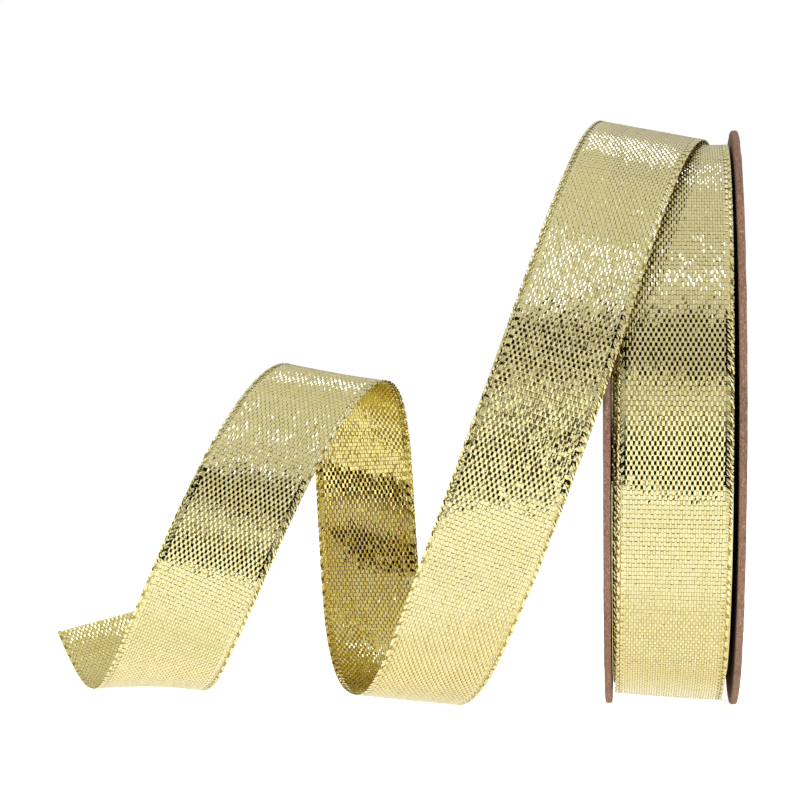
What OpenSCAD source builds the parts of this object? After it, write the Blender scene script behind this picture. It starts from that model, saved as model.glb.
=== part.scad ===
// Ribbon spool: two board flanges glued on a paper tube, wound with woven metallic ribbon.
// The outer end of the ribbon has come loose and stands beside the spool in two open loops.
// The X axis is the spool's own axis, Z is up, and the origin is the centre of the core's bore.

/* [Spool] */
// Diameter of each flange
flange_d = 86; // [60:1:120]
// Thickness of the board that each flange is cut from
board_t = 1; // [0.6:0.1:2]
// Radius that handling has crushed onto the flange's edges
rim_crush = 0.3; // [0.1:0.05:0.3]
// Outside diameter of the paper tube
core_od = 30; // [20:1:40]
// Wall thickness of the paper tube
core_wall = 1.5; // [0.8:0.1:3]

/* [Ribbon] */
// Width of the ribbon from selvedge to selvedge
ribbon_w = 15.9; // [9:0.1:25]
// Thickness of one layer of ribbon
ribbon_t = 0.2; // [0.1:0.05:0.4]
// Gap between the wound ribbon's edge and each flange
side_gap = 0.75; // [0.4:0.05:2]
// How far the tight winding stops below the flange's rim
winding_depth = 3; // [2:0.1:8]
// Gap between the tight winding and the start of the loose turn
turn_gap = 0.4; // [0.3:0.05:1]

/* [Start tape] */
// Length of the tape around the tube
tape_length = 18; // [10:1:30]
// Width of the tape along the tube
tape_w = 12; // [8:1:14]
// Thickness of the tape
tape_t = 0.1; // [0.05:0.05:0.2]
// Clearance around the tape and under the first layer
tape_gap = 0.05; // [0.02:0.01:0.1]

/* [Hidden] */
$fn = 96;

rim_r = flange_d / 2;
core_r = core_od / 2;
inner_w = ribbon_w + 2 * side_gap;
spool_w = inner_w + 2 * board_t;
winding_r = rim_r - winding_depth;
first_layer_r = core_r + tape_gap;

// The loose turn creeps outwards from just above the winding, one control point a step
turn_steps = 15;
turn_step = 22.5;
turn_start_r = winding_r + turn_gap + ribbon_t / 2;
turn_end_r = rim_r - 1;
turn_start_x = 0.5;
turn_end_x = -0.5;
turn_lean = -4;
// Control points stand this much outside the circle that the curve through them follows
turn_swell = 3 / (2 + cos(turn_step));

// Control points of the ribbon's free route, laid out beside a flange and ribbon of this size:
// along X, Y and Z to its centre line, then the swing and the lean of its width in degrees
route_rim_r = 43;
route_ribbon_w = 15.9;
route = [
    [-0.5, 0.5, -43, 0, -4],
    [1, 21, -41, -4, 2],
    [1, 34, -30.5, -3, 5],
    [0.5, 42.5, -14.5, 0, 4],
    [0, 44.5, 3.5, 2, 2],
    [-0.5, 40, 21, 2, 0],
    [-0.5, 30, 34.5, -1, -2],
    [-1, 16.5, 42, -6, -5],
    [-2.5, -1.5, 44, -11, -12],
    [-5.5, -21.5, 40, -15, -14],
    [-10.5, -36.5, 26, -14, -15],
    [-16, -43.5, 8, -8, -16],
    [-23.5, -42, -12.5, -1, -15],
    [-30.5, -33, -30, 9, -11],
    [-35.5, -21.5, -40.5, 19, -9],
    [-40.5, -7, -43, 22, -6],
    [-45.5, 10, -39, 18, -2],
    [-48, 22, -24.5, 9, 0],
    [-49, 23, -6.5, 1, -2],
    [-49.5, 12.5, 6, -5, -6],
    [-52, -4.5, 8, -5, -12],
    [-58, -19.5, -2.5, -4, -16],
    [-65, -25, -19, 3, -20],
    [-72, -18.5, -33.5, 7, -19],
    [-78, -3.5, -42, 10, -8],
    [-84.5, 14.5, -43, 17, 9],
    [-92.5, 28.5, -35, 23, 15],
    [-101, 38.5, -19, 27, 10],
];
// Rings along each span between control points
span_rings = 4;

// Loops keep the curl of the turns they came off, so they grow with the rim
curl = rim_r / route_rim_r;
spread = ribbon_w / route_ribbon_w;

turn_points = [for (i = [0 : turn_steps - 1])
    let (part = i / turn_steps,
         angle = (i - turn_steps) * turn_step,
         r = turn_swell * (turn_start_r + (turn_end_r - turn_start_r) * pow(part, 2)),
         drift = pow(part, 3))
    [turn_start_x + (turn_end_x - turn_start_x) * drift,
     r * sin(angle), -r * cos(angle), 0, turn_lean * drift]];

free_points = [for (p = route) [p[0] * spread, p[1] * curl, p[2] * curl, p[3], p[4]]];

all_points = concat(turn_points, free_points);
spans = len(all_points) - 3;
turn_spans = turn_steps - 1;

// Uniform cubic B-spline: the point at share t of one span
function spline(p, span, t) =
    (pow(1 - t, 3) * p[span]
     + (3 * pow(t, 3) - 6 * pow(t, 2) + 4) * p[span + 1]
     + (-3 * pow(t, 3) + 3 * t * t + 3 * t + 1) * p[span + 2]
     + pow(t, 3) * p[span + 3]) / 6;

function slope(p, span, t) =
    (-3 * pow(1 - t, 2) * p[span]
     + (9 * t * t - 12 * t) * p[span + 1]
     + (-9 * t * t + 6 * t + 3) * p[span + 2]
     + 3 * t * t * p[span + 3]) / 6;

function centre_of(row) = [row[0], row[1], row[2]];
function width_of(row) = [cos(row[4]) * cos(row[3]), cos(row[4]) * sin(row[3]), sin(row[4])];
function unit(v) = v / norm(v);

// Four corners of the ribbon's section at one place on the route, square to the route
function section(row, along) =
    let (c = centre_of(row),
         t = unit(centre_of(along)),
         w = unit(width_of(row) - (width_of(row) * t) * t),
         n = cross(t, w))
    [c - w * ribbon_w / 2 - n * ribbon_t / 2, c + w * ribbon_w / 2 - n * ribbon_t / 2,
     c + w * ribbon_w / 2 + n * ribbon_t / 2, c - w * ribbon_w / 2 + n * ribbon_t / 2];

// A closed strip of ribbon that follows the route from one span to another
module ribbon_strip(first_span, last_span) {
    sections = [for (k = [0 : (last_span - first_span) * span_rings])
        let (span = min(first_span + floor(k / span_rings), last_span - 1),
             t = first_span + k / span_rings - span)
        section(spline(all_points, span, t), slope(all_points, span, t))];
    last = len(sections) - 1;
    sides = [for (i = [0 : last - 1]) for (j = [0 : 3])
        let (a = 4 * i + j, b = 4 * i + (j + 1) % 4)
        each [[a, b, b + 4], [a, b + 4, a + 4]]];
    ends = [[2, 1, 0], [3, 2, 0],
            [4 * last, 4 * last + 1, 4 * last + 2], [4 * last, 4 * last + 2, 4 * last + 3]];
    polyhedron([for (s = sections) each s], concat(sides, ends), convexity = 10);
}

// A quarter round from one angle to the next, for a crushed edge
function crush_arc(cx, cy, from) =
    [for (a = [from : 22.5 : from + 90]) [cx + rim_crush * cos(a), cy + rim_crush * sin(a)]];

// One flange, its inner face at X = 0 and its outer face towards +X
module flange() {
    rotate([0, 90, 0])
        rotate_extrude($fn = 180)
            polygon(concat(
                [[core_r, 0]],
                crush_arc(rim_r - rim_crush, rim_crush, -90),
                crush_arc(rim_r - rim_crush, board_t - rim_crush, 0),
                [[core_r, board_t]]));
}

module left_flange() {
    color("#9a7560") translate([-inner_w / 2, 0, 0]) mirror([1, 0, 0]) flange();
}

module right_flange() {
    color("#9a7560") translate([inner_w / 2, 0, 0]) flange();
}

// The tube runs through both flanges and is glued flush with their outer faces
module core_tube() {
    color("#a98466")
        rotate([0, 90, 0])
            difference() {
                cylinder(h = spool_w, r = core_r, center = true);
                cylinder(h = spool_w + 2, r = core_r - core_wall, center = true);
            }
}

// A curved patch on the tube, centred on its top
module tape_patch(length, width, inner_r, thickness) {
    angle = length / core_r * 180 / PI;
    rotate([0, 90, 0])
        rotate([0, 0, 180 - angle / 2])
            rotate_extrude(angle = angle)
                translate([inner_r, -width / 2])
                    square([thickness, width]);
}

module start_tape() {
    color("#e8e4d2") tape_patch(tape_length, tape_w, core_r, tape_t);
}

// The tightly wound layers turn with the spool; a pocket in the first ones holds the tape
module ribbon_winding() {
    color("#d9c77a")
        difference() {
            rotate([0, 90, 0])
                difference() {
                    cylinder(h = ribbon_w, r = winding_r, center = true);
                    cylinder(h = ribbon_w + 2, r = first_layer_r, center = true);
                }
            tape_patch(tape_length + 2 * tape_gap, tape_w + 2 * tape_gap,
                       core_r - tape_gap, tape_t + 2 * tape_gap);
        }
}

module loose_turn() {
    color("#e6d896") ribbon_strip(0, turn_spans);
}

module ribbon_tail() {
    color("#e6d896") ribbon_strip(turn_spans, spans);
}

left_flange();
right_flange();
core_tube();
start_tape();
ribbon_winding();
loose_turn();
ribbon_tail();
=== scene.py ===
import math
import bpy
import numpy as np
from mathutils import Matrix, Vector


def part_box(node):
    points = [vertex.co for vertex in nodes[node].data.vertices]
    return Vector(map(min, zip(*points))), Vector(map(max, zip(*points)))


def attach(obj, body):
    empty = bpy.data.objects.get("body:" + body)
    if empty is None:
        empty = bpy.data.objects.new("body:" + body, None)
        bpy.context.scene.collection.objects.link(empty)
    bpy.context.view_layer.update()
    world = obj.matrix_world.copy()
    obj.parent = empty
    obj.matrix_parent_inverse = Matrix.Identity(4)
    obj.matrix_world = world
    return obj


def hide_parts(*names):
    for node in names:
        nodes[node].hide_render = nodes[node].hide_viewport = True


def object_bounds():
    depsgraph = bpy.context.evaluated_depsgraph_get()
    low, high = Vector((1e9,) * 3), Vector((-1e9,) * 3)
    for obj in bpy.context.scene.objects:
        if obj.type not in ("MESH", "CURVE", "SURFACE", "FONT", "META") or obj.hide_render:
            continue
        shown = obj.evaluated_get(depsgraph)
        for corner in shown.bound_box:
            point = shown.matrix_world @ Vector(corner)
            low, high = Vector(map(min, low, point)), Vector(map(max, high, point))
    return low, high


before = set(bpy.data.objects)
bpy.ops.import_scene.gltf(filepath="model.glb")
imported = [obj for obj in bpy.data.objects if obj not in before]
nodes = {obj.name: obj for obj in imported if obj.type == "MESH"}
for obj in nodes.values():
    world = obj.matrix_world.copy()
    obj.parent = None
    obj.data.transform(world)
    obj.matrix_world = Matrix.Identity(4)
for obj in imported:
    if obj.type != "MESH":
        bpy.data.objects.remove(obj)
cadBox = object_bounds()
mm = 0.001
rng = np.random.default_rng(16)


def toLinear(hexColour):
    parts = [int(hexColour[i:i + 2], 16) / 255 for i in (1, 3, 5)]
    return [c / 12.92 if c <= 0.04045 else ((c + 0.055) / 1.055) ** 2.4 for c in parts] + [1.0]


def addNode(tree, kind, settings=None, links=None):
    # settings: node properties, or input sockets given by name or number; links: input -> output socket
    node = tree.nodes.new(kind)
    for key, value in (settings or {}).items():
        if isinstance(key, int) or key in node.inputs:
            node.inputs[key].default_value = value
        else:
            setattr(node, key, value)
    for key, source in (links or {}).items():
        tree.links.new(source, node.inputs[key])
    return node


def newMaterial(name):
    made = bpy.data.materials.new(name)
    made.use_nodes = True
    made.node_tree.nodes.clear()
    return made, made.node_tree


def setRamp(node, stops):
    ramp = node.color_ramp
    while len(ramp.elements) > 1:
        ramp.elements.remove(ramp.elements[-1])
    for i, (place, colour) in enumerate(stops):
        stop = ramp.elements[0] if i == 0 else ramp.elements.new(place)
        stop.position = place
        stop.color = colour


def grey(value):
    return (value, value, value, 1)


def deselectAll():
    bpy.ops.object.select_all(action="DESELECT")


# place, lens and sensor in mm, turn and roll in degrees, nearest distance drawn in metres
cameraSet = {
    "place": (-5.3, -400.0, 2.5), "turn": 5.11, "roll": -0.10,
    "lens": 118.6, "sensor": 36, "near": 0.01,
}


def makeCamera():
    data = bpy.data.cameras.new("camera")
    data.lens = cameraSet["lens"]
    data.sensor_width = cameraSet["sensor"]
    data.clip_start = cameraSet["near"]
    cam = bpy.data.objects.new("camera", data)
    bpy.context.scene.collection.objects.link(cam)
    cam.location = [v * mm for v in cameraSet["place"]]
    cam.rotation_euler = (math.pi / 2, math.radians(cameraSet["roll"]), math.radians(cameraSet["turn"]))
    bpy.context.scene.camera = cam


makeCamera()

# millimetres, as in the part: along X, Y and Z, then swing and lean of the ribbon's width in degrees
routePoints = [
    (-0.5, 0.5, -43, 0, -4),
    (1, 21, -41, -4, 2),
    (1, 34, -30.5, -3, 5),
    (0.5, 42.5, -14.5, 0, 4),
    (0, 44.5, 3.5, 2, 2),
    (-0.5, 40, 21, 2, 0),
    (-0.5, 30, 34.5, -1, -2),
    (-1, 16.5, 42, -6, -5),
    (-2.5, -1.5, 44, -11, -12),
    (-5.5, -21.5, 40, -15, -14),
    (-10.5, -36.5, 26, -14, -15),
    (-16, -43.5, 8, -8, -16),
    (-23.5, -42, -12.5, -1, -15),
    (-30.5, -33, -30, 9, -11),
    (-35.5, -21.5, -40.5, 19, -9),
    (-40.5, -7, -43, 22, -6),
    (-45.5, 10, -39, 18, -2),
    (-48, 22, -24.5, 9, 0),
    (-49, 23, -6.5, 1, -2),
    (-49.5, 12.5, 6, -5, -6),
    (-52, -4.5, 8, -5, -12),
    (-58, -19.5, -2.5, -4, -16),
    (-65, -25, -19, 3, -20),
    (-72, -18.5, -33.5, 7, -19),
    (-78, -3.5, -42, 10, -8),
    (-84.5, 14.5, -43, 17, 9),
    (-92.5, 28.5, -35, 23, 15),
    (-101, 38.5, -19, 27, 10),
]

ribbon = {
    "width": 15.9,
    "layer": 0.2,
    "turnSteps": 15, "turnStep": 22.5,     # control points round the loose turn, degrees between them
    "turnGap": 0.4, "turnEndDrop": 1.0,    # above the winding at its start, below the rim at its end
    "turnStartX": 0.5, "turnEndX": -0.5,   # it drifts a little to the left
    "turnLean": -4.0,                      # degrees at its end
    "perSpan": 60,                         # places worked out between two control points
}
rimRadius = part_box("right_flange")[1].z / mm
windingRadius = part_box("ribbon_winding")[1].z / mm
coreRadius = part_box("core_tube")[1].z / mm


def turnPoints():
    steps = ribbon["turnSteps"]
    swell = 3 / (2 + math.cos(math.radians(ribbon["turnStep"])))
    start = windingRadius + ribbon["turnGap"] + ribbon["layer"] / 2
    end = rimRadius - ribbon["turnEndDrop"]
    points = []
    # a spiral that opens towards its end: radius by the square of the way round, drift by its cube
    for i in range(steps):
        part = i / steps
        angle = math.radians((i - steps) * ribbon["turnStep"])
        radius = swell * (start + (end - start) * part ** 2)
        drift = part ** 3
        x = ribbon["turnStartX"] + (ribbon["turnEndX"] - ribbon["turnStartX"]) * drift
        lean = ribbon["turnLean"] * drift
        points.append((x, radius * math.sin(angle), -radius * math.cos(angle), 0, lean))
    return points


def unitRows(rows):
    return rows / np.linalg.norm(rows, axis=1)[:, None]


def layRoute():
    # uniform cubic B-spline through the control points: centre, across and outward directions by length
    rows = np.array(turnPoints() + routePoints, float)
    spans = len(rows) - 3
    u = np.linspace(0, spans, spans * ribbon["perSpan"] + 1)
    span = np.minimum(u.astype(int), spans - 1)
    t = u - span
    value = np.stack([(1 - t) ** 3, 3 * t ** 3 - 6 * t ** 2 + 4,
                      -3 * t ** 3 + 3 * t * t + 3 * t + 1, t ** 3]) / 6
    slope = np.stack([-3 * (1 - t) ** 2, 9 * t * t - 12 * t, -9 * t * t + 6 * t + 3, 3 * t * t]) / 6
    placed = sum(value[k][:, None] * rows[span + k] for k in range(4))
    along = unitRows(sum(slope[k][:, None] * rows[span + k] for k in range(4))[:, :3])
    swing, lean = np.radians(placed[:, 3]), np.radians(placed[:, 4])
    across = np.stack([np.cos(lean) * np.cos(swing), np.cos(lean) * np.sin(swing), np.sin(lean)], 1)
    across = unitRows(across - (across * along).sum(1)[:, None] * along)
    centre = placed[:, :3]
    length = np.concatenate([[0], np.cumsum(np.linalg.norm(np.diff(centre, axis=0), axis=1))])
    turnEnd = length[(ribbon["turnSteps"] - 1) * ribbon["perSpan"]]
    outward = np.cross(along, across)
    return {"s": length, "centre": centre, "across": across, "out": outward, "turnEnd": turnEnd}


route = layRoute()
ribbonEnd = route["s"][-1]
print("route laid,", round(ribbonEnd, 1), "mm of loose ribbon")


def rippleAt(s, x):
    # two slow waves along the ribbon, of which each bends across it too
    wave = 2 * math.pi * s / weave["rippleLength"]
    first = np.sin(wave) * np.sin(x * 0.31 + 0.9)
    second = np.sin(wave * 0.37 + 2.0) * np.cos(x * 0.23)
    return weave["ripple"] * (first + second)


def readRoute(name, s):
    return np.stack([np.interp(s, route["s"], route[name][:, k]) for k in range(3)], 1)


def onRoute(s, x, h):
    # points at length s, x to the right of the centre line and h above the ribbon's middle, all in mm
    flat = s.ravel()
    height = h.ravel() + rippleAt(flat, x.ravel())
    place = (readRoute("centre", flat) + x.ravel()[:, None] * readRoute("across", flat)
             + height[:, None] * readRoute("out", flat))
    return place.reshape(s.shape + (3,))


def onWinding(s, x, h):
    # the same on the last turn of the winding
    radius = windingRadius - winding["topDrop"]
    angle = s / radius
    reach = radius + h
    return np.stack([x + winding["topShift"], reach * np.sin(angle), -reach * np.cos(angle)], -1)


# the ribbon is woven from flat strips that pass over and under each other
weave = {
    "warpPitch": 0.361, "weftPitch": 0.68,  # mm from strip to strip, across and along the ribbon
    "warpWidth": 0.31, "weftWidth": 0.665,
    "warpCount": 38,
    "warpRise": 0.07, "weftRise": 0.055,    # how far each strip passes over the one it crosses
    "shoulders": (-0.45, -0.33, 0.33, 0.45),  # along a warp over a weft, as shares of the weft pitch
    "shoulderRise": (0.72, 1, 1, 0.72),     # and its height there
    # painted shade: darker on the falling shoulders, where the warp dives, and a little darker under a weft
    "shoulderShade": (0.3, 1.0, 1.0, 0.3),
    "under": 0.38, "underShade": 0.9,       # the stretch under a weft, to either side of its middle
    "tilt": 0.008,                          # how far a strip's edges stray in height
    "weftReach": 7.6,                       # where the wefts turn back at the selvedge
    "weftStray": 0.008,                     # how far a weft strays along the ribbon
    "leastShade": 0.4, "shadeSpread": 0.3,  # of a float, and how much places and whole strips differ
    "ripple": 0.05, "rippleLength": 17.0,   # gentle unevenness of the whole ribbon
}


def meshFromGrids(name, grids, tints, smooth=False):
    # each grid is (rows, columns, 3) in mm and becomes a patch of quads; tints give each vertex a shade,
    # which holds random tone and, on the woven strips, painted shade
    verts, faces, uvs, shades = [], [], [], []
    start = 0
    for grid, tint in zip(grids, tints):
        rows, cols = grid.shape[:2]
        verts.append(grid.reshape(-1, 3))
        shades.append(np.broadcast_to(tint, (rows, cols)).reshape(-1))
        index = start + np.arange(rows * cols).reshape(rows, cols)
        corners = [index[:-1, :-1], index[:-1, 1:], index[1:, 1:], index[1:, :-1]]
        faces.append(np.stack(corners, -1).reshape(-1, 4))
        acrossShare, alongShare = np.meshgrid(np.linspace(0, 1, cols), np.arange(rows) / 4)
        uvs.append(np.stack([acrossShare, alongShare], -1).reshape(-1, 2))
        start += rows * cols
    verts = np.concatenate(verts) * mm
    faces = np.concatenate(faces)
    uvs = np.concatenate(uvs)
    shades = np.concatenate(shades)
    mesh = bpy.data.meshes.new(name)
    mesh.vertices.add(len(verts))
    mesh.vertices.foreach_set("co", verts.ravel())
    mesh.loops.add(faces.size)
    mesh.loops.foreach_set("vertex_index", faces.ravel())
    mesh.polygons.add(len(faces))
    mesh.polygons.foreach_set("loop_start", np.arange(0, faces.size, 4))
    mesh.polygons.foreach_set("loop_total", np.full(len(faces), 4))
    mesh.polygons.foreach_set("use_smooth", np.full(len(faces), smooth))
    layer = mesh.uv_layers.new(name="strip")
    layer.data.foreach_set("uv", uvs[faces.ravel()].ravel())
    shade = mesh.attributes.new("shade", "FLOAT", "POINT")
    shade.data.foreach_set("value", shades)
    mesh.update()
    mesh.validate()
    made = bpy.data.objects.new(name, mesh)
    bpy.context.scene.collection.objects.link(made)
    return made


def stripGrid(lay, s, x, h, halfWidth, alongWeft):
    # one strip of two columns: edges lie to either side of its middle line, each a little uneven
    stray = rng.normal(0, weave["tilt"], (len(s), 2))
    side = np.array([-1.0, 1.0]) * halfWidth
    if alongWeft:
        return lay(s[:, None] + side, np.repeat(x[:, None], 2, 1), h[:, None] + stray)
    return lay(np.repeat(s[:, None], 2, 1), x[:, None] - side, h[:, None] + stray)


def warpProfile(s0, s1, parity):
    # lengths, heights and painted shade along one warp: flat over a weft with falling shoulders, then under
    # one.
    # The painted shade darkens the shoulders and the ends, where the warp dives, and the stretch under a
    # weft a little
    pitch, rise = weave["weftPitch"], weave["warpRise"]
    s, h, lit = [s0], [0.0], [0.3]
    for pick in range(math.ceil(s0 / pitch - 0.5), math.floor(s1 / pitch - 0.5) + 1):
        middle = (pick + 0.5) * pitch
        if (pick + parity) % 2:
            s += [middle + share * pitch for share in weave["shoulders"]]
            h += [rise * share for share in weave["shoulderRise"]]
            lit += weave["shoulderShade"]
        else:
            s += [middle - weave["under"] * pitch, middle + weave["under"] * pitch]
            h += [-rise, -rise]
            lit += [weave["underShade"]] * 2
    return np.clip(np.array(s + [s1]), s0, s1), np.array(h + [0.0]), np.array(lit + [0.3])


def unevenShade(count):
    # every place along a strip has its own shade, and every strip too
    places = rng.uniform(0, 1, (count, 1)) * weave["shadeSpread"]
    return weave["leastShade"] + places + rng.uniform(0, weave["shadeSpread"])


def makeWarps(name, lay, s0, s1):
    grids, tints = [], []
    profiles = [warpProfile(s0, s1, parity) for parity in (0, 1)]
    for j in range(weave["warpCount"]):
        s, h, lit = profiles[j % 2]
        x = np.full(len(s), (j - (weave["warpCount"] - 1) / 2) * weave["warpPitch"])
        grids.append(stripGrid(lay, s, x, h, weave["warpWidth"] / 2, False))
        tints.append(unevenShade(len(s)) * lit[:, None])
    return meshFromGrids(name, grids, tints)


def makeWefts(name, lay, s0, s1):
    pitch, pitchX = weave["weftPitch"], weave["warpPitch"]
    grids, tints = [], []
    offset = (weave["warpCount"] - 1) / 2
    inner = (np.arange(2 * weave["warpCount"] - 1) / 2 - offset) * pitchX
    x = np.concatenate([[-weave["weftReach"]], inner, [weave["weftReach"]]])
    for i in range(math.ceil(s0 / pitch - 0.5), math.floor(s1 / pitch - 0.5) + 1):
        s = np.full(len(x), (i + 0.5) * pitch) + rng.normal(0, weave["weftStray"])
        if s[0] + pitch / 2 > s1:
            continue
        h = weave["weftRise"] * np.cos(math.pi * (x / pitchX + offset + i))
        h[0] = h[-1] = 0
        grids.append(stripGrid(lay, s, x, h, weave["weftWidth"] / 2, True))
        # painted shade: palest on the floats, darker where a warp crosses, darkest at the turns under the
        # selvedge loops
        lit = 0.7 + 0.3 * np.abs(h) / weave["weftRise"]
        lit[0] = lit[-1] = 0.05
        tints.append(unevenShade(len(x)) * lit[:, None])
    return meshFromGrids(name, grids, tints)


# two flat strips twist about each other along each edge, and inside them the wefts turn back in loops.
# Middle is from the ribbon's centre line and roll in radians; pinch narrows a strip between its crests, and
# fade darkens it there with painted shade, where it dips under the other strip
selvedge = {
    "edge": {"middle": 7.62, "width": 0.48, "pitch": 2.4, "sway": 0.07, "rise": 0.12,
             "roll": 0.35, "step": 0.2, "pinch": 0.3, "fade": 1.1},
    "loops": {"middle": 7.16, "width": 0.30, "pitch": 1.36, "sway": 0.17, "rise": 0.10,
              "roll": 0.5, "step": 0.17, "pinch": 0.5, "fade": 1.1},
    "uneven": 0.9, "unevenLength": 6.1,     # how far the twist runs ahead or behind, and how slowly
    "stray": 0.012,
    "edgeDrop": 0.045, "middleRise": 0.02,  # each strip is arched across its width
}


def twistedStrip(lay, s, side, form, phase):
    ahead = selvedge["uneven"] * np.sin(s / selvedge["unevenLength"] + phase)
    turn = 2 * math.pi * s / form["pitch"] + phase + ahead
    x = side * (form["middle"] + form["sway"] * np.sin(turn)) + rng.normal(0, selvedge["stray"], len(s))
    h = form["rise"] * np.cos(turn)
    roll = form["roll"] * np.sin(turn + 0.5)
    crest = np.abs(np.cos(turn))
    narrow = form["width"] * (1 - form["pinch"] * (1 - crest))
    share = np.array([0.5, 0.0, -0.5])
    drop, rise = selvedge["edgeDrop"], selvedge["middleRise"]
    arch = np.array([-drop, rise, -drop]) * np.sign(h + 1e-6)[:, None]
    xs = x[:, None] + share * (narrow * np.cos(roll))[:, None]
    hs = h[:, None] + arch + share * (narrow * np.sin(roll))[:, None]
    # painted shade: darkest away from the crest, where the strip dips under the other one
    shade = np.clip(1 - form["fade"] * (1 - crest), 0, 1)
    return lay(np.repeat(s[:, None], 3, 1), xs, hs), shade[:, None]


def makeSelvedge(name, lay, s0, s1):
    grids, tints = [], []
    for side in (-1, 1):
        for form in (selvedge["edge"], selvedge["loops"]):
            for phase in (0, math.pi):
                s = np.linspace(s0, s1, int((s1 - s0) / form["step"]))
                grid, lit = twistedStrip(lay, s, side, form, phase + side)
                grids.append(grid)
                tints.append(lit * rng.uniform(0.7, 1.1, (len(s), 1)))
    return meshFromGrids(name, grids, tints, smooth=True)


# Metallised polyester strip, slit flat and woven: a mirror-like pale gold, smooth along each strip, so that
# every float shows its own small piece of the room. Its edges and the parts that dip under another strip
# are painted deep gold as shade, which draws the fine lines between floats. The reverse is tinted warmer,
# a painted reflection of the gold that faces it
def metallisedStrip():
    made, tree = newMaterial("metallised_polyester_strip")
    shade = addNode(tree, "ShaderNodeAttribute", {"attribute_name": "shade"})
    # the deep gold at the dark end is painted shade for the dips; the pale end is the strips' own uneven
    # gold
    colour = addNode(tree, "ShaderNodeValToRGB", links={0: shade.outputs["Fac"]})
    setRamp(colour, [(0.0, toLinear("#6A5318")), (0.25, toLinear("#DDCB7E")), (0.5, toLinear("#F1E6A6")),
                     (0.9, toLinear("#F6EEB8"))])
    strip = addNode(tree, "ShaderNodeUVMap", {"uv_map": "strip"})
    parts = addNode(tree, "ShaderNodeSeparateXYZ", links={0: strip.outputs[0]})
    # painted shade near both edges of every strip, which draws the fine lines between floats
    inward = addNode(tree, "ShaderNodeMath", {"operation": "PINGPONG", 1: 0.5}, {0: parts.outputs["X"]})
    edgeShade = addNode(tree, "ShaderNodeMapRange", {"From Max": 0.09, "To Min": 0.74},
                   {0: inward.outputs[0]})
    edgeShaded = addNode(tree, "ShaderNodeVectorMath", {"operation": "SCALE"},
                    {0: colour.outputs[0], "Scale": edgeShade.outputs[0]})
    # painted reflection: the reverse of the strip is tinted warmer, for the gold it faces and reflects
    facing = addNode(tree, "ShaderNodeNewGeometry")
    reverseReflection = addNode(tree, "ShaderNodeMix",
                   {"data_type": "RGBA", "blend_type": "MULTIPLY", 7: (1.0, 0.96, 0.73, 1)},
                   {0: facing.outputs["Backfacing"], 6: edgeShaded.outputs[0]})
    # fine marks from rolling and slitting run along the strip, about 0.02 mm apart
    stretch = addNode(tree, "ShaderNodeMapping", {"Scale": (9.0, 0.7, 1.0)}, {0: strip.outputs[0]})
    streaks = addNode(tree, "ShaderNodeTexNoise", {"Scale": 3.0, "Detail": 2.0},
                      {"Vector": stretch.outputs[0]})
    rough = addNode(tree, "ShaderNodeMapRange", {"To Min": 0.05, "To Max": 0.11},
                    {0: streaks.outputs["Fac"]})
    shader = addNode(tree, "ShaderNodeBsdfPrincipled", {"Metallic": 1.0},
                     {"Base Color": reverseReflection.outputs[2], "Roughness": rough.outputs[0]})
    addNode(tree, "ShaderNodeOutputMaterial", links={"Surface": shader.outputs[0]})
    return made


strip = metallisedStrip()


def weaveRibbon(label, lay, s0, s1):
    return [makeWefts(label + "Wefts", lay, s0, s1), makeWarps(label + "Warps", lay, s0, s1),
            makeSelvedge(label + "Selvedges", lay, s0, s1)]


def standFor(pieces, body, cadNode):
    for piece in pieces:
        piece.data.materials.append(strip)
        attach(piece, body)
        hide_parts(cadNode)


def makeLooseRibbon(label, cadNode, s0, s1):
    pieces = weaveRibbon(label, onRoute, s0, s1)
    standFor(pieces, "loose_ribbon", cadNode)
    print("woven", label)


makeLooseRibbon("looseTurn", "loose_turn", 0, route["turnEnd"])
makeLooseRibbon("tail", "ribbon_tail", route["turnEnd"], ribbonEnd)


# the tight winding is one long strip in a spiral, with a woven last turn on top
winding = {
    "length": 22170.0,       # mm, 25 yards less the loose ribbon
    "sidesPerTurn": 64,
    "coreGap": 0.05,
    "fill": 0.92,            # share of the pitch that one layer fills
    "shade": 0.5,
    "wander": 0.22,          # how far a layer's edge strays along the spool
    "topDrop": 0.11,         # of the last turn's middle, below the winding's outside
    "topShift": -0.6,        # the last turns lie over towards the left flange
    "lateTurns": 6,          # how many do so
    "settle": 5,             # and how many they take to get there
}


def windingPlace(angle, turns, inner, pitch):
    radius = inner + pitch * (angle / (2 * math.pi) + 0.5)
    # two slow waves, neither in step with the turns
    wander = winding["wander"] * (np.sin(angle * 0.163) * 0.6 + np.sin(angle * 0.0571 + 1.3) * 0.4)
    late = np.clip((angle / (2 * math.pi) - (turns - winding["lateTurns"])) / winding["settle"], 0, 1)
    return radius, wander * (1 - late) + late * winding["topShift"]


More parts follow.
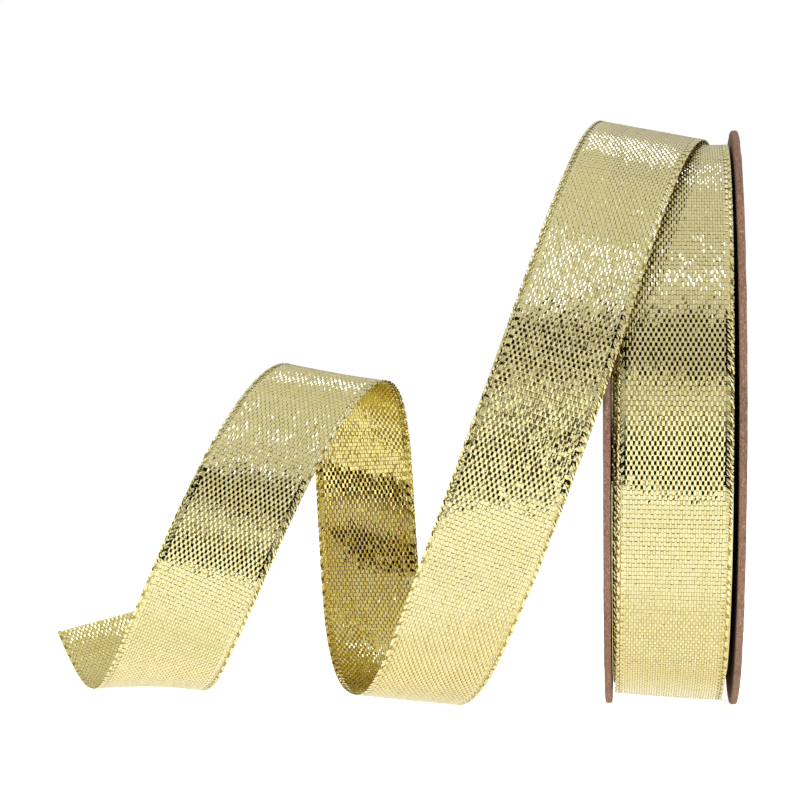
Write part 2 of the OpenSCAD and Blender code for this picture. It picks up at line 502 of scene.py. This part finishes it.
def makeWinding():
    inner = coreRadius + winding["coreGap"]
    outer = windingRadius - 2 * winding["topDrop"]
    turns = winding["length"] / (math.pi * (inner + outer))
    pitch = (outer - inner) / turns
    angle = np.linspace(0, 2 * math.pi * (turns - 0.5), int(turns * winding["sidesPerTurn"]))
    radius, shift = windingPlace(angle, turns, inner, pitch)
    half = ribbon["width"] / 2
    layer = pitch * winding["fill"] / 2
    corners = [(-half, -layer), (half, -layer), (half, layer), (-half, layer), (-half, -layer)]
    lines = []
    for x, h in corners:
        reach = radius + h
        lines.append(np.stack([shift + x, reach * np.sin(angle), -reach * np.cos(angle)], -1))
    made = meshFromGrids("windingRibbon", [np.stack(lines, 1)], [winding["shade"]])
    deselectAll()
    made.select_set(True)
    bpy.context.view_layer.objects.active = made
    bpy.ops.object.mode_set(mode="EDIT")
    bpy.ops.mesh.select_all(action="SELECT")
    bpy.ops.mesh.remove_doubles(threshold=0.000001)
    bpy.ops.mesh.select_all(action="DESELECT")
    bpy.ops.mesh.select_non_manifold()
    bpy.ops.mesh.fill_holes(sides=4)
    bpy.ops.mesh.select_all(action="SELECT")
    bpy.ops.mesh.normals_make_consistent(inside=False)
    bpy.ops.object.mode_set(mode="OBJECT")
    bpy.ops.object.shade_smooth_by_angle(angle=math.radians(40))
    top = weaveRibbon("windingTop", onWinding, 0, 2 * math.pi * (windingRadius - winding["topDrop"]))
    standFor([made] + top, "spool", "ribbon_winding")
    print("wound", round(turns, 1), "turns at", round(pitch, 3), "mm")


makeWinding()


# Uncoated kraft board, die cut: matt red-brown, with felted fibres that lie every way, cloudy patches and
# faint layers along the cut edge
def kraftBoard():
    made, tree = newMaterial("kraft_board")
    place = addNode(tree, "ShaderNodeTexCoord")
    spot = place.outputs["Object"]
    swirl = addNode(tree, "ShaderNodeTexNoise", {"Scale": 500.0, "Detail": 2.0}, {"Vector": spot})
    bent = addNode(tree, "ShaderNodeVectorMath",
                   {"operation": "MULTIPLY_ADD", 1: (0.002, 0.002, 0.002)},
                   {0: swirl.outputs["Color"], 2: spot})
    # fibres 0.15 mm thick and 1.5 mm long, along Y and along Z: real ones are finer and wouldn't show
    alongY = addNode(tree, "ShaderNodeMapping", {"Scale": (6000, 700, 6000)}, {0: bent.outputs[0]})
    fibresY = addNode(tree, "ShaderNodeTexNoise", {"Scale": 1.0, "Detail": 3.0},
                      {"Vector": alongY.outputs[0]})
    alongZ = addNode(tree, "ShaderNodeMapping", {"Scale": (6000, 6000, 700)}, {0: bent.outputs[0]})
    fibresZ = addNode(tree, "ShaderNodeTexNoise", {"Scale": 1.0, "Detail": 3.0},
                      {"Vector": alongZ.outputs[0]})
    felt = addNode(tree, "ShaderNodeMath", {"operation": "ADD"},
                   {0: fibresY.outputs["Fac"], 1: fibresZ.outputs["Fac"]})
    half = addNode(tree, "ShaderNodeMath", {"operation": "MULTIPLY", 1: 0.5}, {0: felt.outputs[0]})
    colour = addNode(tree, "ShaderNodeValToRGB", links={0: half.outputs[0]})
    setRamp(colour, [(0.34, toLinear("#5C4435")), (0.46, toLinear("#785A47")),
                     (0.55, toLinear("#8C6B57")), (0.68, toLinear("#B0937B"))])
    clouds = addNode(tree, "ShaderNodeTexNoise", {"Scale": 70.0, "Detail": 4.0}, {"Vector": spot})
    tone = addNode(tree, "ShaderNodeMapRange",
                   {"From Min": 0.3, "From Max": 0.7, "To Min": 0.86, "To Max": 1.12},
                   {0: clouds.outputs["Fac"]})
    # plies of the board, about 0.3 mm each, show on the cut edge as fine lines
    axes = addNode(tree, "ShaderNodeSeparateXYZ", links={0: spot})
    ply = addNode(tree, "ShaderNodeMath", {"operation": "PINGPONG", 1: 0.00015}, {0: axes.outputs["X"]})
    plyTone = addNode(tree, "ShaderNodeMapRange", {"From Max": 0.00015, "To Min": 0.88, "To Max": 1.05},
                      {0: ply.outputs[0]})
    both = addNode(tree, "ShaderNodeMath", {"operation": "MULTIPLY"},
                   {0: tone.outputs[0], 1: plyTone.outputs[0]})
    mixed = addNode(tree, "ShaderNodeVectorMath", {"operation": "SCALE"},
                    {0: colour.outputs[0], "Scale": both.outputs[0]})
    bump = addNode(tree, "ShaderNodeBump", {"Strength": 0.6, "Distance": 0.00006},
                   {"Height": half.outputs[0]})
    shader = addNode(tree, "ShaderNodeBsdfPrincipled", {"Roughness": 0.9, "Specular IOR Level": 0.25},
                     {"Base Color": mixed.outputs[0], "Normal": bump.outputs[0]})
    addNode(tree, "ShaderNodeOutputMaterial", links={"Surface": shader.outputs[0]})
    return made


# Recycled paper wound in a spiral and glued: paler and smoother than the board, with a seam that climbs
# round the tube
def spiralPaper():
    made, tree = newMaterial("spiral_wound_paper")
    place = addNode(tree, "ShaderNodeTexCoord")
    spot = place.outputs["Object"]
    axes = addNode(tree, "ShaderNodeSeparateXYZ", links={0: spot})
    turn = addNode(tree, "ShaderNodeMath", {"operation": "ARCTAN2"},
                   {0: axes.outputs["Y"], 1: axes.outputs["Z"]})
    # one seam every 20 mm along the tube, climbing that far in one turn
    climb = addNode(tree, "ShaderNodeMath", {"operation": "MULTIPLY_ADD", 1: 0.02 / (2 * math.pi)},
                    {0: turn.outputs[0], 2: axes.outputs["X"]})
    seam = addNode(tree, "ShaderNodeMath", {"operation": "PINGPONG", 1: 0.01}, {0: climb.outputs[0]})
    seamTone = addNode(tree, "ShaderNodeMapRange",
                       {"From Min": 0.0, "From Max": 0.0004, "To Min": 0.55, "To Max": 1.0},
                       {0: seam.outputs[0]})
    fibres = addNode(tree, "ShaderNodeTexNoise", {"Scale": 1800.0, "Detail": 4.0}, {"Vector": spot})
    colour = addNode(tree, "ShaderNodeValToRGB", links={0: fibres.outputs["Fac"]})
    setRamp(colour, [(0.35, toLinear("#7E6450")), (0.55, toLinear("#A08369")),
                     (0.7, toLinear("#B79C82"))])
    mixed = addNode(tree, "ShaderNodeVectorMath", {"operation": "SCALE"},
                    {0: colour.outputs[0], "Scale": seamTone.outputs[0]})
    bump = addNode(tree, "ShaderNodeBump", {"Strength": 0.4, "Distance": 0.00005},
                   {"Height": seamTone.outputs[0]})
    shader = addNode(tree, "ShaderNodeBsdfPrincipled", {"Roughness": 0.85, "Specular IOR Level": 0.3},
                     {"Base Color": mixed.outputs[0], "Normal": bump.outputs[0]})
    addNode(tree, "ShaderNodeOutputMaterial", links={"Surface": shader.outputs[0]})
    return made


# Crepe paper tape: off-white with fine cross wrinkles and a faint sheen from its coating
def crepeTape():
    made, tree = newMaterial("crepe_paper_tape")
    place = addNode(tree, "ShaderNodeTexCoord")
    stretch = addNode(tree, "ShaderNodeMapping", {"Scale": (500, 4000, 500)},
                      {0: place.outputs["Object"]})
    wrinkles = addNode(tree, "ShaderNodeTexNoise", {"Scale": 1.0, "Detail": 3.0},
                       {"Vector": stretch.outputs[0]})
    colour = addNode(tree, "ShaderNodeValToRGB", links={0: wrinkles.outputs["Fac"]})
    setRamp(colour, [(0.3, toLinear("#D8D2BC")), (0.7, toLinear("#EFEBDC"))])
    bump = addNode(tree, "ShaderNodeBump", {"Strength": 0.5, "Distance": 0.00004},
                   {"Height": wrinkles.outputs["Fac"]})
    shader = addNode(tree, "ShaderNodeBsdfPrincipled", {"Roughness": 0.6},
                     {"Base Color": colour.outputs[0], "Normal": bump.outputs[0]})
    addNode(tree, "ShaderNodeOutputMaterial", links={"Surface": shader.outputs[0]})
    return made


board = kraftBoard()

flange = {
    "rings": (17.0, 24.0, 31.0, 37.0, 40.5, 42.4),  # radii in mm where the board gets an edge ring
    "rimFrom": 0.1,                                 # past the last ring, where the rim begins
    "corners": 256,
    "rimRound": 0.32, "rimUneven": 0.16, "faceUneven": 0.05,
    "rimClouds": 2.4, "faceClouds": 9.0,            # size of the uneven patches
}


def growRing(fromRadius, toRadius):
    grow = toRadius / fromRadius
    bpy.ops.mesh.extrude_edges_move()
    bpy.ops.transform.resize(value=(1, grow, grow), center_override=(0, 0, 0))


def unevenBy(made, name, size, strength, group):
    clouds = bpy.data.textures.new(name, "CLOUDS")
    clouds.noise_scale = size * mm
    press = made.modifiers.new(name, "DISPLACE")
    press.texture = clouds
    press.strength = strength * mm
    press.mid_level = 0.5
    press.vertex_group = group
    bpy.ops.object.modifier_apply(modifier=name)


def makeFlange(cadNode):
    low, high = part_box(cadNode)
    middle, thick = (low.x + high.x) / 2, high.x - low.x
    deselectAll()
    bpy.ops.mesh.primitive_circle_add(vertices=flange["corners"], radius=coreRadius * mm,
                                      location=(middle, 0, 0), rotation=(0, math.pi / 2, 0))
    made = bpy.context.object
    made.name = cadNode + "Board"
    bpy.ops.object.transform_apply(location=True, rotation=True, scale=True)
    bpy.ops.object.mode_set(mode="EDIT")
    bpy.ops.mesh.select_all(action="SELECT")
    radii = (coreRadius,) + flange["rings"] + (rimRadius,)
    for inner, outer in zip(radii, radii[1:]):
        growRing(inner, outer)
    bpy.ops.mesh.select_all(action="SELECT")
    bpy.ops.mesh.normals_make_consistent(inside=False)
    bpy.ops.object.mode_set(mode="OBJECT")
    wall = made.modifiers.new("thickness", "SOLIDIFY")
    wall.thickness = thick
    wall.offset = 0
    bpy.ops.object.modifier_apply(modifier="thickness")
    rim = made.modifiers.new("rim", "BEVEL")
    rim.width = flange["rimRound"] * mm
    rim.segments = 3
    rim.limit_method = "ANGLE"
    rim.angle_limit = math.radians(50)
    bpy.ops.object.modifier_apply(modifier="rim")
    edge = made.vertex_groups.new(name="edge")
    face = made.vertex_groups.new(name="face")
    for vert in made.data.vertices:
        radius = math.hypot(vert.co.y, vert.co.z) / mm
        if radius > flange["rings"][-1] + flange["rimFrom"]:
            edge.add([vert.index], 1.0, "ADD")
        elif flange["rings"][0] < radius:
            face.add([vert.index], 1.0, "ADD")
    unevenBy(made, "crushed", flange["rimClouds"], flange["rimUneven"], "edge")
    unevenBy(made, "pressed", flange["faceClouds"], flange["faceUneven"], "face")
    bpy.ops.object.shade_smooth_by_angle(angle=math.radians(50))
    made.data.materials.append(board)
    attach(made, "spool")
    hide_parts(cadNode)
    print("cut", made.name)


makeFlange("left_flange")
makeFlange("right_flange")
for name, finish in (("core_tube", spiralPaper()), ("start_tape", crepeTape())):
    nodes[name].data.materials.clear()
    nodes[name].data.materials.append(finish)


# floor in mm; softboxes in metres and watts
studio = {
    "floorFront": -380.0, "floorBack": 1600.0, "floorHalf": 1500.0, "glow": 0.85,
    "softboxes": {
        "overhead": {"place": (0.0, -0.1, 0.9), "size": 0.6, "power": 0.8},
        "left": {"place": (-0.6, -0.5, 0.4), "size": 0.4, "power": 0.7},
        "right": {"place": (0.6, -0.5, 0.4), "size": 0.4, "power": 0.7},
    },
}


def makeFloor():
    deselectAll()
    depth = (studio["floorBack"] - studio["floorFront"]) * mm
    middle = (studio["floorBack"] + studio["floorFront"]) / 2 * mm
    low = cadBox[0].z
    bpy.ops.mesh.primitive_plane_add(size=1, location=(0, middle, low))
    floor = bpy.context.object
    floor.name = "floor"
    floor.scale = (2 * studio["floorHalf"] * mm, depth, 1)
    bpy.ops.object.transform_apply(location=True, rotation=True, scale=True)
    made, tree = newMaterial("matt_paper_sweep")
    grain = addNode(tree, "ShaderNodeTexNoise", {"Scale": 60.0})
    tone = addNode(tree, "ShaderNodeValToRGB", links={0: grain.outputs["Fac"]})
    setRamp(tone, [(0.3, grey(0.86)), (0.7, grey(0.9))])
    shader = addNode(tree, "ShaderNodeBsdfPrincipled",
                     {"Roughness": 0.9, "Emission Color": grey(1.0),
                      "Emission Strength": studio["glow"]},
                     {"Base Color": tone.outputs[0]})
    addNode(tree, "ShaderNodeOutputMaterial", links={"Surface": shader.outputs[0]})
    floor.data.materials.append(made)
    floor.visible_glossy = False


def addSoftbox(name, box):
    # lights the board and the floor, but isn't seen in the metal: the room gives its reflections
    data = bpy.data.lights.new(name, "AREA")
    data.shape = "RECTANGLE"
    data.size = box["size"]
    data.size_y = box["size"]
    data.energy = box["power"]
    lamp = bpy.data.objects.new(name, data)
    bpy.context.scene.collection.objects.link(lamp)
    lamp.location = box["place"]
    lamp.rotation_euler = lamp.location.to_track_quat("Z", "Y").to_euler()
    lamp.visible_glossy = False


# how bright the room is by height in degrees above the horizon, and where its parts change, as places on
# the X, Y and Z of a unit direction
room = {
    "underfoot": (0.97, 0.86, 0.63, 1),
    "floor": (1.13, 1.14, 1.2, 1),
    "floorAside": (1.18, 1.18, 1.21, 1),
    "dark": 0.004, "low": 0.55 / 3, "dim": 0.22, "wall": 0.55, "sideWall": 0.7, "ceiling": 0.73,
    "panelTop": 1.0, "panel": 1.4,
    "ahead": ((-90, "underfoot"), (-72, "floor"), (-29, "floor"), (-27, "dark"), (-9, "dark"),
              (-1, "dim"), (5, "wall"), (16, "wall"), (18, "dark"), (42, "dark"), (44, "ceiling"),
              (90, "ceiling")),
    "aside": ((-90, "underfoot"), (-72, "floorAside"), (-29, "floorAside"), (-27, "panel"),
              (-4, "panel"), (6, "panelTop"), (15, "panelTop"), (18, "sideWall"), (42, "sideWall"),
              (46, "ceiling"), (90, "ceiling")),
    "behind": ((-90, "underfoot"), (-6, "floor"), (-3, "low"), (11, "low"), (14, "wall"),
               (90, "ceiling")),
    "lean": 0.09, "leanFrom": -0.18,        # how much lower the lights ahead stand on the left
    "corner": (0.26, 0.30),                 # from ahead to aside
    "back": (0.86, 0.92),                   # from aside to behind
    "lamps": (3.4, 3.7, 6.0, 1),
    "lampFrom": 0.100, "lampTo": 0.165, "lampSoft": 0.005,  # how far over to the side the lamps hang
    "lampHeight": (0.58, 0.68),             # the lowest
    "lampBack": (0.1, 0.3),                 # how far back they reach on the left
    "lampGaps": 3.6, "lampShare": (0.46, 0.52),  # how fine the gaps between them, and how wide
}


def heightStops(stops):
    # from heights in degrees and names of brightnesses to places and colours on a ramp
    made = []
    for angle, name in stops:
        value = room[name]
        colour = value if isinstance(value, tuple) else grey(value)
        made.append(((math.sin(math.radians(angle)) + 1) / 2, colour))
    return made


def makeRoom():
    world = bpy.data.worlds.new("room")
    bpy.context.scene.world = world
    world.use_nodes = True
    tree = world.node_tree
    tree.nodes.clear()
    place = addNode(tree, "ShaderNodeTexCoord")
    axes = addNode(tree, "ShaderNodeSeparateXYZ", links={0: place.outputs["Generated"]})
    height = addNode(tree, "ShaderNodeMapRange", {"From Min": -1.0, "From Max": 1.0},
                     {0: axes.outputs["Z"]})
    left = addNode(tree, "ShaderNodeMapRange",
                   {"From Min": room["leanFrom"], "From Max": 0.0, "To Min": room["lean"],
                    "To Max": 0.0},
                   {0: axes.outputs["X"]})
    upper = addNode(tree, "ShaderNodeMapRange", {"From Max": 0.2}, {0: axes.outputs["Z"]})
    leant = addNode(tree, "ShaderNodeMath", {"operation": "MULTIPLY_ADD"},
                    {0: left.outputs[0], 1: upper.outputs[0], 2: axes.outputs["Z"]})
    heightAhead = addNode(tree, "ShaderNodeMapRange", {"From Min": -1.0, "From Max": 1.0},
                          {0: leant.outputs[0]})
    ahead = addNode(tree, "ShaderNodeValToRGB", links={0: heightAhead.outputs[0]})
    setRamp(ahead, heightStops(room["ahead"]))
    aside = addNode(tree, "ShaderNodeValToRGB", links={0: height.outputs[0]})
    setRamp(aside, heightStops(room["aside"]))
    behind = addNode(tree, "ShaderNodeValToRGB", links={0: height.outputs[0]})
    setRamp(behind, heightStops(room["behind"]))
    # four panels stand in the corners, halfway between ahead, left, right and behind
    product = addNode(tree, "ShaderNodeMath", {"operation": "MULTIPLY"},
                      {0: axes.outputs["X"], 1: axes.outputs["Y"]})
    size = addNode(tree, "ShaderNodeMath", {"operation": "ABSOLUTE"}, {0: product.outputs[0]})
    flatX = addNode(tree, "ShaderNodeMath", {"operation": "MULTIPLY"},
                    {0: axes.outputs["X"], 1: axes.outputs["X"]})
    flatXY = addNode(tree, "ShaderNodeMath", {"operation": "MULTIPLY_ADD"},
                     {0: axes.outputs["Y"], 1: axes.outputs["Y"], 2: flatX.outputs[0]})
    share = addNode(tree, "ShaderNodeMath", {"operation": "DIVIDE"},
                    {0: size.outputs[0], 1: flatXY.outputs[0]})
    cornerFrom, cornerTo = room["corner"]
    side = addNode(tree, "ShaderNodeMapRange", {"From Min": cornerFrom, "From Max": cornerTo},
                   {0: share.outputs[0]})
    walls = addNode(tree, "ShaderNodeMix", {"data_type": "RGBA"},
                    {0: side.outputs[0], 6: ahead.outputs[0], 7: aside.outputs[0]})
    flatWay = addNode(tree, "ShaderNodeCombineXYZ", links={0: axes.outputs["X"], 1: axes.outputs["Y"]})
    along = addNode(tree, "ShaderNodeVectorMath", {"operation": "NORMALIZE"}, {0: flatWay.outputs[0]})
    backness = addNode(tree, "ShaderNodeVectorMath", {"operation": "DOT_PRODUCT", 1: (0, 1, 0)},
                       {0: along.outputs[0]})
    backFrom, backTo = room["back"]
    back = addNode(tree, "ShaderNodeMapRange", {"From Min": backFrom, "From Max": backTo},
                   {0: backness.outputs["Value"]})
    allRound = addNode(tree, "ShaderNodeMix", {"data_type": "RGBA"},
                       {0: back.outputs[0], 6: walls.outputs[2], 7: behind.outputs[0]})
    # an arc of lamps hangs over each side: only a float that leans far enough that way shows one
    reach = addNode(tree, "ShaderNodeMath", {"operation": "MULTIPLY_ADD", 1: -2.0, 2: 2.0},
                    {0: axes.outputs["Y"]})
    arc = addNode(tree, "ShaderNodeMath", {"operation": "DIVIDE"},
                  {0: flatX.outputs[0], 1: reach.outputs[0]})
    rows = addNode(tree, "ShaderNodeValToRGB", links={0: arc.outputs[0]})
    first, last, soft = room["lampFrom"], room["lampTo"], room["lampSoft"]
    setRamp(rows, [(0.0, grey(0)), (first, grey(0)), (first + soft, grey(1)), (last - soft, grey(1)),
                   (last, grey(0))])
    lowest, full = room["lampHeight"]
    high = addNode(tree, "ShaderNodeMapRange", {"From Min": lowest, "From Max": full},
                   {0: axes.outputs["Z"]})
    gaps = addNode(tree, "ShaderNodeTexNoise", {"Scale": room["lampGaps"]},
                   {"Vector": place.outputs["Generated"]})
    gapFrom, gapTo = room["lampShare"]
    broken = addNode(tree, "ShaderNodeMapRange", {"From Min": gapFrom, "From Max": gapTo},
                     {0: gaps.outputs["Fac"]})
    # on the left the arc ends halfway over
    backStart, backEnd = room["lampBack"]
    front = addNode(tree, "ShaderNodeMapRange",
                    {"From Min": backStart, "From Max": backEnd, "To Min": 1.0, "To Max": 0.0},
                    {0: axes.outputs["Y"]})
    right = addNode(tree, "ShaderNodeMapRange", {"From Min": -0.05, "From Max": 0.05},
                    {0: axes.outputs["X"]})
    kept = addNode(tree, "ShaderNodeMath", {"operation": "MAXIMUM"},
                   {0: front.outputs[0], 1: right.outputs[0]})
    hung = addNode(tree, "ShaderNodeMath", {"operation": "MULTIPLY"},
                   {0: high.outputs[0], 1: broken.outputs[0]})
    hungThere = addNode(tree, "ShaderNodeMath", {"operation": "MULTIPLY"},
                        {0: hung.outputs[0], 1: kept.outputs[0]})
    lit = addNode(tree, "ShaderNodeMath", {"operation": "MULTIPLY"},
                  {0: rows.outputs[0], 1: hungThere.outputs[0]})
    bright = addNode(tree, "ShaderNodeMix", {"data_type": "RGBA", 7: room["lamps"]},
                     {0: lit.outputs[0], 6: allRound.outputs[2]})
    # the eye and matt board get an even white, the metal gets the room
    seen = addNode(tree, "ShaderNodeLightPath")
    plain = addNode(tree, "ShaderNodeMath", {"operation": "MAXIMUM"},
                    {0: seen.outputs["Is Camera Ray"], 1: seen.outputs["Is Diffuse Ray"]})
    mixed = addNode(tree, "ShaderNodeMix", {"data_type": "RGBA", 7: grey(1.0)},
                    {0: plain.outputs[0], 6: bright.outputs[2]})
    shader = addNode(tree, "ShaderNodeBackground", links={0: mixed.outputs[2]})
    addNode(tree, "ShaderNodeOutputWorld", links={0: shader.outputs[0]})


makeFloor()
for boxName, box in studio["softboxes"].items():
    addSoftbox(boxName, box)
makeRoom()
bpy.context.scene.view_settings.view_transform = "Standard"
print("floor, lights and room made")
